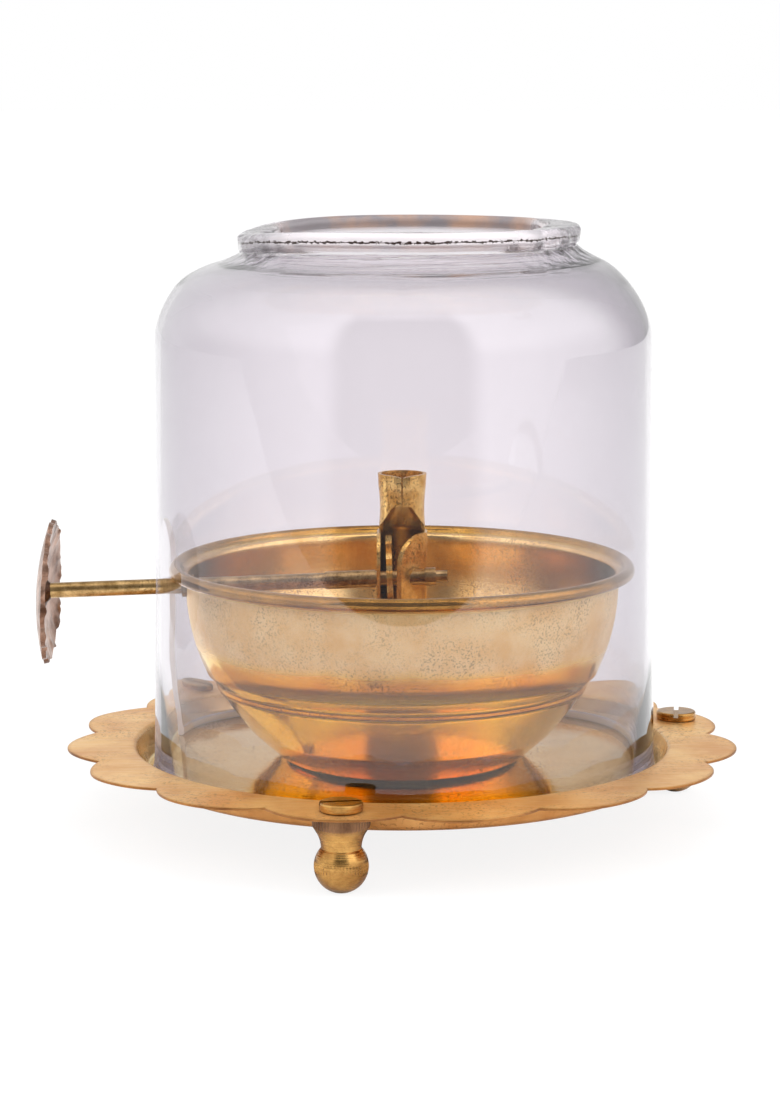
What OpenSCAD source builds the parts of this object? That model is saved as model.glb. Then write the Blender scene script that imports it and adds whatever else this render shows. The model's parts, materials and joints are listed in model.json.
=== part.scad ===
// Akhand diya: a brass oil lamp with a petal plate on three ball feet, an oil bowl with a
// slotted wick holder, a spindle that turns the toothed wick wheel, and a glass chimney.
// Millimetres, +Z up. The origin is on the lamp's axis, on the surface that it stands on.
// The spindle leaves to -X, and the front of the lamp faces -Y.

/* [Feet] */
// Height of a foot, from its flat to the underside of the petals
foot_h = 16.8; // [15:0.1:24]
// Radius of the ball at the bottom of a foot
foot_ball_r = 5.75; // [5:0.05:7]
// Radius of the small flat that the ball stands on
foot_flat_r = 1.5; // [0.8:0.1:2.5]
// Radius of the neck above the ball
foot_neck_r = 4.25; // [3.6:0.05:4.8]
// Radius of the flange under the petals
foot_flange_r = 6.1; // [5:0.1:7]
// Thickness of the flange's rim
foot_flange_t = 2.6; // [1:0.1:3]
// Height of the flare from the neck out to the flange
foot_flare_h = 1.6; // [0.6:0.1:2.2]
// Space between a foot's flange and the pan's wall
foot_gap = 1.3; // [0.5:0.1:3]
// Turn of the front foot from the front of the lamp, towards the spindle
foot_turn = 10.6; // [0:0.1:24]

/* [Foot screws] */
// Radius of a screw's shank
screw_r = 2.4; // [1.5:0.1:3]
// Length of the shank below the head
screw_len = 9; // [5:0.5:11]
// Radius of the cheese head
screw_head_r = 4.6; // [4:0.1:5.5]
// Height of the cheese head
screw_head_h = 1.9; // [1.4:0.1:3]
// Width of the driver slot
screw_slot_w = 1.1; // [0.8:0.1:1.6]
// Depth of the driver slot
screw_slot_d = 0.9; // [0.5:0.1:1.2]

/* [Petal plate] */
// Sheet thickness of the plate
plate_t = 0.6; // [0.5:0.1:1.6]
// Number of petals
petal_count = 15; // [12:1:18]
// Radius of the round end of a petal
petal_r = 19; // [16:0.5:22]
// Width of the petal border, from the pan's wall to the petal tips
border_w = 15; // [12:0.1:20]
// Depth of the pan, from the top of the petals to its floor
pan_depth = 6.2; // [4:0.1:9]
// How far the pan's wall leans out over its height
pan_lean = 2.2; // [1:0.1:4]
// Bend radius at the foot of the pan's wall
pan_bend_r = 2.0; // [1.2:0.1:3]
// Space between the chimney's foot and the pan's wall
pan_play = 1.2; // [0.8:0.1:3]

/* [Oil bowl] */
// Sheet thickness of the bowl
bowl_t = 1.0; // [0.6:0.1:1.6]
// Outer radius over the rolled bead at the rim
rim_r = 52.7; // [48:0.1:58]
// Radius of the rolled bead itself
bead_r = 1.45; // [1.1:0.05:1.9]
// Height of the bead's middle above the bowl's base
bowl_h = 46.5; // [42:0.1:54]
// How far the bead overhangs the belly
bead_overhang = 3.7; // [3:0.1:4.5]
// Height of the widest part of the belly below the bead's middle
belly_drop = 2.7; // [1.5:0.1:4]
// Radius of the base, where the lower wall would meet it
base_r = 30; // [27:0.1:34]
// Rounding between the base and the lower wall
base_round = 9; // [4:0.1:10]
// Height of the spun step above the base
step_h = 18.9; // [15:0.1:22]
// Height of the hollow of the spun step
step_cove_h = 4.0; // [1.6:0.1:5]
// Depth of the hollow of the spun step
step_cove_d = 0.8; // [0.4:0.1:1.2]

/* [Wick holder] */
// Sheet thickness of the wick holder
holder_t = 0.8; // [0.5:0.05:1]
// Outer radius of the wick tube
tube_r = 5.3; // [4.8:0.1:7]
// Height of the tube's mouth above the top of the cheeks
tube_h = 13; // [10:0.1:18]
// Depth to which the back of the tube runs down inside the wider back
tube_lap = 0.8; // [0.4:0.1:2]
// Height of the arched opening above the top of the cheeks
arch_h = 6.0; // [4:0.1:7]
// Width of the top of the arched opening
arch_w = 4.4; // [3:0.1:6]
// Height of the arched opening's wide foot above the top of the cheeks
arch_foot = 1.1; // [0.5:0.1:2]
// Width of the open seam up the front of the tube
seam_w = 0.35; // [0.2:0.05:0.8]
// How much wider the cheeks and back are than the tube, on each side
cheek_flare = 0.35; // [0.2:0.05:0.6]
// Height of the cheeks above the spindle's axis
cheek_rise = 9.8; // [8:0.1:12]
// Reach of the cheeks in front of the spindle's axis
cheek_reach = 4.1; // [3:0.1:6]
// Rounding of the cheeks' front corners
cheek_round = 6.8; // [3:0.1:7.5]
// Depth of the cheeks below the spindle's axis
cheek_drop = 9; // [5:0.1:14]
// Distance behind the spindle's axis where the right cheek turns in
lip_start = 3.4; // [2:0.1:4.5]
// Gap between the turned-in lip of the right cheek and the wick wheel
lip_gap = 0.5; // [0.3:0.05:1.2]
// Length of each soldered foot tab
tab_l = 6; // [3:0.1:9]
// Width of each soldered foot tab
tab_w = 5; // [3:0.1:5.2]

/* [Spindle] */
// Radius of the rod
rod_r = 1.725; // [1.4:0.025:2]
// Fall of the rod towards the knob, in degrees
spindle_tilt = 2.2; // [0:0.1:3.5]
// Height of the bead's middle above the spindle's axis at the bowl's wall
spindle_drop = 3.5; // [3.4:0.1:6]
// Rod length from the wick tube's axis to the outside of the knob
rod_out = 82.0; // [78:0.1:100]
// Length of the rod's free end beyond the end collar
rod_proud = 2.6; // [0.5:0.1:6]
// How much thinner the free end is than the rod, in radius
rod_end_cut = 0.425; // [0.2:0.025:0.6]
// Wall of the stop sleeve, from the rod's surface out
sleeve_wall = 0.275; // [0.2:0.025:0.8]
// Length of the stop sleeve
sleeve_l = 11.2; // [6:0.1:20]
// Wall of the end collar, from the rod's surface out
collar_wall = 0.3; // [0.2:0.025:1.2]
// Length of the end collar
collar_l = 2.4; // [1:0.1:4]
// Wall of the bush in the bowl's wall, from the rod's surface out
bush_wall = 0.775; // [0.4:0.025:0.95]
// How far the bush stands out of the wall on each side
bush_proud = 0.8; // [0.4:0.05:1]

/* [Wick wheel] */
// Radius over the wheel's teeth
wheel_r = 9.7; // [8:0.1:10]
// Thickness of the wheel
wheel_t = 1.3; // [0.8:0.1:1.8]
// Number of teeth
wheel_teeth = 14; // [8:1:20]
// Height of a tooth
tooth_h = 1.9; // [1:0.1:3]
// Width of a tooth at its root
tooth_w = 2.9; // [1.5:0.1:3.4]
// Gap between the wheel's teeth and the back of the wick holder
wheel_gap = 0.4; // [0.3:0.05:1.2]
// Distance of the wheel's middle from the tube's axis, towards the knob
wheel_off = 2.7; // [0:0.1:2.9]

/* [Knob] */
// Radius over the knob's scallops
knob_r = 16.3; // [13:0.1:20]
// Depth of the dish
knob_depth = 2.4; // [1.8:0.1:6]
// Sheet thickness of the knob
knob_t = 1.0; // [0.6:0.1:1.6]
// Number of scallops round its edge
scallop_count = 16; // [10:1:20]
// Radius of one scallop
scallop_r = 4.2; // [3:0.1:4.5]
// Wall of the brazed boss, from the rod's surface out
boss_wall = 1.875; // [0.8:0.025:3]
// Length of the brazed boss
boss_l = 1.6; // [1.2:0.1:3]

/* [Glass chimney] */
// Wall thickness of the glass
glass_t = 1.5; // [1:0.1:2.5]
// Space between the bowl's bead and the glass
glass_gap = 2.9; // [2:0.1:6]
// Height of the chimney
glass_h = 123.6; // [112:0.1:140]
// How much narrower the wall is at the shoulder than at its foot
glass_taper = 1.5; // [0:0.1:3]
// Outer radius of the mouth
mouth_r = 37.5; // [34:0.1:42]
// Height of the mouth's upright lip
lip_h = 5.4; // [4.4:0.1:8]
// How far the melted round edge of the mouth swells past the wall
lip_swell = 0.85; // [0.3:0.05:1.2]
// How far the melted round edge that the chimney stands on swells past the wall
heel_swell = 0.25; // [0.1:0.05:0.4]
// Rise of the shoulder from its outer corner to the lip
shoulder_rise = 7.6; // [6:0.1:12]
// Rounding of the shoulder's outer corner
shoulder_r = 20; // [12:0.1:22]
// Rounding where the shoulder meets the lip
neck_r = 3; // [2:0.1:4]
// Width of the notch that clears the spindle
notch_w = 24; // [16:0.1:28]
// Height of the top of the notch above the spindle
notch_rise = 14.5; // [13:0.1:20]
// Turn of the notch from the side towards the front, or below 0 towards the back
notch_turn = -1.2; // [-2:0.1:10]

/* [Fits] */
// Radial space of a soldered, brazed or screwed fit
slip = 0.02; // [0.01:0.01:0.05]
// Radial running space of the spindle
run_gap = 0.06; // [0.03:0.01:0.1]
// Space between pieces that move past each other
free_gap = 0.3; // [0.2:0.05:0.5]
// Gap under the chimney where it stands in the pan
seat_gap = 0.15; // [0.1:0.05:0.3]

/* [Hidden] */
$fn = 96;
// Largest angle of one step round a bend of an outline
bend_step = 10;
// Extra length of a cutter beyond the face that it cuts
over = 1;
// Number of feet, one for each foot's node
foot_count = 3;
// Turn at which each screw's slot stopped, in degrees
slot_turns = [110, 65, 25];
// Height over which the hollow of the spun step runs into the belly
cove_blend = 0.5;

// Heights of the stack, from the floor up
petal_z = foot_h + plate_t;
pan_z = petal_z - pan_depth;
bead_z = pan_z + bowl_h;
belly_z = bead_z - belly_drop;
step_z = pan_z + step_h;
bowl_floor_z = pan_z + bowl_t;

// Radii of the nest, from the bowl out
bead_mid_r = rim_r - bead_r;
belly_r = rim_r - bead_overhang;
wall_top_r = bead_mid_r - bead_r + bowl_t;
glass_r = rim_r + glass_gap + glass_t;
pan_r = glass_r + pan_play + plate_t;
pan_top_r = pan_r + pan_lean;
petal_tip_r = pan_top_r + border_w;
foot_mid_r = pan_top_r + foot_gap + foot_flange_r;
foot_angles = [for (i = [0 : foot_count - 1]) -90 - foot_turn + i * 360 / foot_count];

// The wick holder's section, and the wheel's place in it
cheek_r = tube_r + cheek_flare;
tube_bore_r = tube_r - holder_t;
holder_back_y = sqrt(pow(cheek_r - holder_t, 2) - pow(wheel_off + wheel_t / 2, 2));

// The spindle's axis, and where it crosses the bowl's wall and the chimney
spindle_y = holder_back_y - wheel_gap - wheel_r;
wall_x = -sqrt(pow(belly_r, 2) - pow(spindle_y, 2));
spindle_wall_z = bead_z - spindle_drop;
spindle_z = spindle_wall_z - wall_x * tan(spindle_tilt);
spindle_glass_z = spindle_z - glass_r * tan(spindle_tilt);

// The wick holder's cheeks
cheek_top = spindle_z + cheek_rise;
cheek_front = spindle_y - cheek_reach;
lip_x = -wheel_off + wheel_t / 2 + wheel_r * sin(spindle_tilt) + lip_gap;
lip_y = spindle_y + lip_start;
lip_slope = (cheek_r - holder_t - lip_x) / (lip_y - cheek_front);
lip_out_y = lip_y - holder_t * tan(atan(lip_slope) / 2);

// Radii on the spindle, and places along it
sleeve_r = rod_r + sleeve_wall;
collar_r = rod_r + collar_wall;
bush_r = rod_r + bush_wall;
boss_r = rod_r + boss_wall;
sleeve_end = -cheek_r - free_gap;
lip_gap_x = free_gap * sqrt(1 + pow(lip_slope, 2));
collar_start = cheek_r - max(0, lip_out_y - spindle_y - collar_r) * lip_slope + lip_gap_x;
collar_end = collar_start + collar_l;
rod_in = collar_end + rod_proud;

// The chimney
glass_z = pan_z + seat_gap;
glass_top = glass_z + glass_h;
heel_r = glass_t / 2 + heel_swell;
lip_bead_r = glass_t / 2 + lip_swell;
notch_top = spindle_glass_z + notch_rise;

brass = [0.76, 0.57, 0.31];
pale_brass = [0.84, 0.68, 0.42];
copper_brown = [0.62, 0.45, 0.35];
clear_glass = [0.88, 0.87, 0.91, 0.35];

// Outline helpers. A path is a list of [x, y] or [x, y, bend radius] corners.
function unit(v) = v / norm(v);
function left_of(v) = unit([-v[1], v[0]]);
function spot(p) = [p[0], p[1]];

// Points round one bend of radius r at corner b, between corners a and c
function bend(a, b, c, r) =
    let (
        u = unit(a - b),
        v = unit(c - b),
        half = acos(u * v) / 2,
        middle = b + unit(u + v) * r / sin(half),
        start = b + u * r / tan(half) - middle,
        first = atan2(start[1], start[0]),
        turn = (cross(u, v) > 0 ? -1 : 1) * (180 - 2 * half),
        steps = max(2, ceil(abs(turn) / bend_step))
    )
    [for (k = [0 : steps]) middle + r * [cos(first + turn * k / steps), sin(first + turn * k / steps)]];

// An open path with its bends worked out
function bent(path) = [
    for (i = [0 : len(path) - 1])
        each i == 0 || i == len(path) - 1 || len(path[i]) < 3
            ? [spot(path[i])]
            : bend(spot(path[i - 1]), spot(path[i]), spot(path[i + 1]), path[i][2])
];

// A closed outline with its bends worked out
function bent_loop(path) = let (n = len(path)) [
    for (i = [0 : n - 1])
        each len(path[i]) < 3
            ? [spot(path[i])]
            : bend(spot(path[(i + n - 1) % n]), spot(path[i]), spot(path[(i + 1) % n]), path[i][2])
];

// Point i of a path, moved t to the left of the way that the path runs
function beside(path, i, t) =
    let (
        before = left_of(i > 0 ? path[i] - path[i - 1] : path[1] - path[0]),
        after = left_of(i < len(path) - 1 ? path[i + 1] - path[i] : path[i] - path[i - 1]),
        middle = unit(before + after)
    )
    path[i] + middle * t / (middle * before);

// Outline of a sheet of thickness t that lies on the left of its path
function sheet(path, t) = concat(path, [for (i = [len(path) - 1 : -1 : 0]) beside(path, i, t)]);

// Points of an arc about [0, z], from height z0 to height z1
function belly(r, z, z0, z1) =
    let (a0 = asin((z0 - z) / r), a1 = asin((z1 - z) / r), steps = ceil((a1 - a0) / 3))
    [for (k = [0 : steps]) [0, z] + r * [cos(a0 + (a1 - a0) * k / steps), sin(a0 + (a1 - a0) * k / steps)]];

// Moves its children to one foot
module at_foot(i) {
    rotate([0, 0, foot_angles[i]]) translate([foot_mid_r, 0, 0]) children();
}

// Places children drawn about +X on the spindle's axis
module on_spindle() {
    translate([0, spindle_y, spindle_z]) rotate([0, -spindle_tilt, 0]) children();
}

// A round bar along +X from x0 to x1
module bar(x0, x1, r) {
    translate([x0, 0, 0]) rotate([0, 90, 0]) cylinder(h = x1 - x0, r = r);
}

// A round tube along +X from x0 to x1
module pipe(x0, x1, r, bore) {
    difference() {
        bar(x0, x1, r);
        bar(x0 - over, x1 + over, bore);
    }
}

// Ring of round lobes that touch a circle of radius tip
module lobes(count, tip, r) {
    for (i = [0 : count - 1])
        rotate((i + 0.5) * 360 / count - 90) translate([tip - r, 0]) circle(r = r);
}

module base_plate() {
    color(brass) difference() {
        union() {
            translate([0, 0, foot_h]) linear_extrude(plate_t) difference() {
                lobes(petal_count, petal_tip_r, petal_r);
                circle(r = pan_top_r + plate_t);
            }
            rotate_extrude() polygon(sheet(bent([
                [0, pan_z - plate_t],
                [pan_r, pan_z - plate_t, pan_bend_r],
                [pan_top_r, foot_h, plate_t],
                [pan_top_r + 2 * plate_t, foot_h],
            ]), plate_t));
        }
        for (i = [0 : foot_count - 1])
            at_foot(i) translate([0, 0, foot_h - over])
                cylinder(h = plate_t + 2 * over, r = screw_r + slip);
    }
}

module foot(i) {
    ball_z = sqrt(pow(foot_ball_r, 2) - pow(foot_flat_r, 2));
    neck_z = ball_z + sqrt(pow(foot_ball_r, 2) - pow(foot_neck_r, 2));
    color(pale_brass) at_foot(i) difference() {
        union() {
            rotate_extrude() intersection() {
                translate([0, ball_z]) circle(r = foot_ball_r);
                square([foot_ball_r, neck_z]);
            }
            rotate_extrude() polygon(bent_loop([
                [0, ball_z],
                [foot_neck_r, ball_z],
                [foot_neck_r, foot_h - foot_flange_t - foot_flare_h, 1.5 * foot_flare_h],
                [foot_flange_r, foot_h - foot_flange_t, 0.3 * foot_flange_t],
                [foot_flange_r, foot_h],
                [0, foot_h],
            ]));
        }
        translate([0, 0, foot_h - screw_len + plate_t - over])
            cylinder(h = screw_len + over, r = screw_r + slip);
    }
}

module foot_front() { foot(0); }
module foot_right() { foot(1); }
module foot_left() { foot(2); }

module foot_screw(i) {
    color(pale_brass) at_foot(i) translate([0, 0, petal_z]) difference() {
        union() {
            translate([0, 0, -screw_len]) cylinder(h = screw_len + over, r = screw_r);
            rotate_extrude() polygon(bent_loop([
                [0, 0],
                [screw_head_r, 0, 0.15 * screw_head_h],
                [screw_head_r, screw_head_h, 0.25 * screw_head_h],
                [0, screw_head_h],
            ]));
        }
        rotate([0, 0, slot_turns[i]])
            translate([-screw_head_r - over, -screw_slot_w / 2, screw_head_h - screw_slot_d])
                cube([2 * (screw_head_r + over), screw_slot_w, screw_slot_d + over]);
    }
}

module foot_screw_front() { foot_screw(0); }
module foot_screw_right() { foot_screw(1); }
module foot_screw_left() { foot_screw(2); }

// Radius of the belly's sphere at a height
function belly_r_at(z) = sqrt(pow(belly_r, 2) - pow(z - belly_z, 2));

module oil_bowl() {
    cove_z = step_z + step_cove_h;
    cove_mid_z = step_z + step_cove_h / 2;
    cove_bend = 0.35 * step_cove_h;
    wall = concat(
        bent([
            [0, pan_z],
            [base_r, pan_z, base_round],
            [belly_r_at(step_z), step_z, cove_bend],
            [belly_r_at(cove_mid_z) - step_cove_d, cove_mid_z, cove_bend],
            [belly_r_at(cove_z), cove_z],
        ]),
        belly(belly_r, belly_z, cove_z + cove_blend, belly_z),
        [[wall_top_r, bead_z]]
    );
    color(brass) difference() {
        rotate_extrude() {
            polygon(sheet(wall, bowl_t));
            translate([bead_mid_r, bead_z]) circle(r = bead_r);
        }
        on_spindle() bar(wall_x - bush_proud - free_gap, wall_x / 2, bush_r + slip);
    }
}

// Section through the wick holder below its tube: a half-round back and two cheeks
module cheek_plan() {
    intersection() {
        difference() {
            circle(r = cheek_r);
            circle(r = cheek_r - holder_t);
        }
        translate([-2 * cheek_r, 0]) square(4 * cheek_r);
    }
    polygon(sheet(bent([
        [cheek_r - holder_t, 0],
        [cheek_r - holder_t, lip_y, holder_t],
        [lip_x, cheek_front],
    ]), holder_t));
    translate([-cheek_r, cheek_front]) square([holder_t, -cheek_front]);
}

module wick_holder() {
    cheek_side = bent_loop([
        [cheek_r + over, bowl_floor_z],
        [cheek_r + over, cheek_top],
        [cheek_front, cheek_top, cheek_round],
        [cheek_front, spindle_z - cheek_drop, cheek_round],
        [-cheek_r / 2, spindle_z - cheek_drop - cheek_round, cheek_round],
        [-cheek_r / 2, bowl_floor_z],
    ]);
    arch = bent_loop([
        [-tube_r - over, cheek_top],
        [-tube_r - over, cheek_top + arch_foot],
        [-tube_r, cheek_top + arch_foot, arch_foot],
        [-arch_w / 2, cheek_top + arch_h, arch_w / 4],
        [arch_w / 2, cheek_top + arch_h, arch_w / 4],
        [tube_r, cheek_top + arch_foot, arch_foot],
        [tube_r + over, cheek_top + arch_foot],
        [tube_r + over, cheek_top],
    ]);
    color(pale_brass) difference() {
        union() {
            translate([0, 0, cheek_top]) difference() {
                translate([0, 0, -tube_lap]) cylinder(h = tube_h + tube_lap, r = tube_r);
                translate([0, 0, -over - tube_lap])
                    cylinder(h = tube_h + tube_lap + 2 * over, r = tube_bore_r);
                translate([-2 * tube_r, over - 4 * tube_r, -over - tube_lap])
                    cube([4 * tube_r, 4 * tube_r, over + tube_lap + arch_foot / 2]);
            }
            intersection() {
                translate([0, 0, bowl_floor_z])
                    linear_extrude(cheek_top - bowl_floor_z) cheek_plan();
                translate([-2 * cheek_r, 0, 0]) rotate([90, 0, 90])
                    linear_extrude(4 * cheek_r) polygon(cheek_side);
            }
            for (side = [-1, 1])
                translate([side * (cheek_r + tab_l / 2 - holder_t / 2), 0, bowl_floor_z + holder_t / 2])
                    cube([tab_l + holder_t, tab_w, holder_t], center = true);
        }
        translate([0, over, 0]) rotate([90, 0, 0])
            linear_extrude(2 * tube_r) polygon(arch);
        translate([-seam_w / 2, -2 * tube_r, cheek_top])
            cube([seam_w, 2 * tube_r, tube_h + over]);
        on_spindle() bar(-2 * cheek_r, 2 * cheek_r, rod_r + run_gap);
    }
}

module spindle_bush() {
    color(copper_brown) on_spindle()
        pipe(wall_x - bush_proud, wall_x + bowl_t + bush_proud, bush_r, rod_r + run_gap);
}

module spindle_rod() {
    color(brass) on_spindle() {
        bar(-rod_out, collar_end, rod_r);
        bar(0, rod_in, rod_r - rod_end_cut);
    }
}

module stop_sleeve() {
    color(brass) on_spindle() pipe(sleeve_end - sleeve_l, sleeve_end, sleeve_r, rod_r + slip);
}

module end_collar() {
    color(pale_brass) on_spindle() pipe(collar_start, collar_end, collar_r, rod_r + slip);
}

module wick_wheel() {
    root_r = wheel_r - tooth_h;
    color(pale_brass) on_spindle() translate([-wheel_off - wheel_t / 2, 0, 0]) rotate([0, 90, 0])
        linear_extrude(wheel_t) difference() {
            union() {
                circle(r = root_r);
                for (i = [0 : wheel_teeth - 1])
                    rotate(i * 360 / wheel_teeth) polygon([
                        [root_r - tooth_h / 2, -tooth_w / 2],
                        [wheel_r, -tooth_w / 6],
                        [wheel_r, tooth_w / 6],
                        [root_r - tooth_h / 2, tooth_w / 2],
                    ]);
            }
            circle(r = rod_r + slip);
        }
}

module knob() {
    dish_r = (pow(knob_r, 2) + pow(knob_depth, 2)) / (2 * knob_depth);
    color(copper_brown) on_spindle() translate([-rod_out, 0, 0]) rotate([0, 90, 0]) difference() {
        union() {
            intersection() {
                rotate_extrude() intersection() {
                    translate([0, dish_r]) difference() {
                        circle(r = dish_r, $fn = 4 * $fn);
                        circle(r = dish_r - knob_t, $fn = 4 * $fn);
                    }
                    square([knob_r, 2 * knob_depth + knob_t]);
                }
                linear_extrude(2 * knob_depth + knob_t) {
                    lobes(scallop_count, knob_r, scallop_r);
                    circle(r = knob_r - scallop_r);
                }
            }
            translate([0, 0, knob_t / 2]) cylinder(h = boss_l, r = boss_r);
        }
        translate([0, 0, -over]) cylinder(h = knob_depth + boss_l + over, r = rod_r + slip);
    }
}

module glass_chimney() {
    shoulder_z = glass_top - lip_h - shoulder_rise;
    color(clear_glass) difference() {
        rotate_extrude() {
            polygon(sheet(bent([
                [glass_r, glass_z + heel_r],
                [glass_r - glass_taper, shoulder_z, shoulder_r],
                [mouth_r, glass_top - lip_h, neck_r],
                [mouth_r, glass_top - lip_bead_r],
            ]), glass_t));
            translate([glass_r - glass_t / 2, glass_z + heel_r]) circle(r = heel_r);
            translate([mouth_r - glass_t / 2, glass_top - lip_bead_r]) circle(r = lip_bead_r);
        }
        rotate([0, 0, notch_turn]) translate([-glass_r - over, 0, 0]) {
            translate([0, 0, notch_top - notch_w / 2])
                bar(0, glass_r / 2, notch_w / 2);
            translate([0, -notch_w / 2, glass_z - over])
                cube([glass_r / 2, notch_w, notch_top - notch_w / 2 - glass_z + over]);
        }
    }
}

base_plate();
foot_front();
foot_right();
foot_left();
foot_screw_front();
foot_screw_right();
foot_screw_left();
oil_bowl();
wick_holder();
spindle_bush();
spindle_rod();
stop_sleeve();
end_collar();
wick_wheel();
knob();
glass_chimney();
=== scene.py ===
import json
import math

import bmesh
import bpy
from mathutils import Matrix, Vector, noise


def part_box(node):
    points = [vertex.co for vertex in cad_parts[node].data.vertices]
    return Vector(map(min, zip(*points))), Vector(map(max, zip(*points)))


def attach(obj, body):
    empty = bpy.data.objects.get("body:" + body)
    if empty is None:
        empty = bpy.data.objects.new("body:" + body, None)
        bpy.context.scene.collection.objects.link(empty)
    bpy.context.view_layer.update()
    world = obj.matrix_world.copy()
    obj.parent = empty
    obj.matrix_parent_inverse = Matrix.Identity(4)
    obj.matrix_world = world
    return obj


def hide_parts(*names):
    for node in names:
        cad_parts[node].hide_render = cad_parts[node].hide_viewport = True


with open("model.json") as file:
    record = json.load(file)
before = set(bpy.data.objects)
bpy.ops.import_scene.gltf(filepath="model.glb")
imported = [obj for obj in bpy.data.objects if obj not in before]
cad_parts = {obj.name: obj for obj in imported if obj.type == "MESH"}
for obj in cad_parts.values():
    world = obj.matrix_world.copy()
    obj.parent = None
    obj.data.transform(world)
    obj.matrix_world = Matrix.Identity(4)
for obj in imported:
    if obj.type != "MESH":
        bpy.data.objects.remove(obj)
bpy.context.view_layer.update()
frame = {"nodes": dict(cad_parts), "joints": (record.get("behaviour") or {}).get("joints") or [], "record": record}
nodes = frame["nodes"]
slotOf = {part["node"]: part["material_slot"] for part in frame["record"]["subparts"]}
scene = bpy.context.scene
scene.view_settings.view_transform = "Standard"
mm = 0.001
print("frame loaded with", len(nodes), "nodes")

# camera at the photo's angle: a long lens a little above the chimney's mouth
photo = {"height": 1108, "focalPx": 3130.93, "sensorMm": 36, "place": (0.0, -0.700, 0.17433),
         "pitch": 9.2526, "yaw": 0.2233}
cameraData = bpy.data.cameras.new("photoCamera")
cameraData.sensor_width = photo["sensorMm"]  # along the photo's long side
cameraData.lens = photo["focalPx"] * photo["sensorMm"] / photo["height"]
camera = bpy.data.objects.new("photoCamera", cameraData)
camera.location = photo["place"]
camera.rotation_euler = (math.radians(90 - photo["pitch"]), 0, math.radians(photo["yaw"]))
scene.collection.objects.link(camera)
scene.camera = camera
print("camera ready, lens", round(cameraData.lens, 1), "mm")


def linear(hexColour):
    parts = [int(hexColour[i:i + 2], 16) / 255 for i in (1, 3, 5)]
    return [p / 12.92 if p <= 0.04045 else ((p + 0.055) / 1.055) ** 2.4 for p in parts] + [1.0]


def perMm(size):
    return 1000 / size  # texture scale for a feature of that many millimetres, in metres


def smooth(low, high, value):
    share = min(1.0, max(0.0, (value - low) / (high - low)))
    return share * share * (3 - 2 * share)


# adds one node: an output of another node is linked, other values go to an input, a property or a ramp
def addNode(tree, kind, settings=None):
    node = tree.nodes.new(kind)
    for key, value in (settings or {}).items():
        if key == "stops":
            for element, (place, colour) in zip(node.color_ramp.elements, value):
                element.position = place
                element.color = linear(colour)
        elif isinstance(value, bpy.types.NodeSocket):
            tree.links.new(value, node.inputs[key])
        elif isinstance(key, int) or key in node.inputs:
            node.inputs[key].default_value = value
        else:
            setattr(node, key, value)
    return node


def maths(tree, operation, *values):
    return addNode(tree, "ShaderNodeMath", {"operation": operation, **dict(enumerate(values))}).outputs[0]


def remap(tree, value, span, low=0.0, high=1.0, kind="LINEAR"):
    return addNode(tree, "ShaderNodeMapRange", {
        "interpolation_type": kind, "Value": value, "From Min": span[0], "From Max": span[1],
        "To Min": low, "To Max": high}).outputs[0]


# mixes two colours, or two numbers, which have their own inputs and output on a Mix node
def blend(tree, share, first, second, kind="RGBA"):
    start, out = {"RGBA": (6, 2), "FLOAT": (2, 0)}[kind]
    return addNode(tree, "ShaderNodeMix", {
        "data_type": kind, 0: share, start: first, start + 1: second}).outputs[out]


# noise with features of one size, or of three along X, Y and Z, in mm
def grain(tree, coords, size, detail, rough=0.5):
    scale = 1.0
    if isinstance(size, tuple):
        coords = addNode(tree, "ShaderNodeMapping", {
            "Vector": coords, "Scale": [perMm(s) for s in size]}).outputs[0]
    else:
        scale = perMm(size)
    return addNode(tree, "ShaderNodeTexNoise", {
        "Vector": coords, "Scale": scale, "Detail": detail, "Roughness": rough}).outputs[0]


def maskOn(tree, name):
    return addNode(tree, "ShaderNodeAttribute", {"attribute_name": name}).outputs["Fac"]


def newMaterial(name):
    material = bpy.data.materials.new(name)
    material.use_nodes = True
    material.node_tree.nodes.clear()
    return material, material.node_tree


# brass: cloudy patina, zones by vertex mask, specks in clusters, tool or draw lines in one direction
patina = {"ramp": (0.36, 0.64), "cloudDetail": (6.0, 0.62), "gritDetail": (3.0, 0.65), "lines": (0.3, 0.7),
          "clusterSize": 22, "clusters": (0.38, 0.62), "speckFade": 0.07, "reliefMm": 0.1, "coatRough": 0.35}


def twoTone(tree, cloud, look):
    stops = list(zip(patina["ramp"], (look["deep"], look["pale"])))
    return addNode(tree, "ShaderNodeValToRGB", {"stops": stops, "Fac": cloud}).outputs[0]


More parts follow.
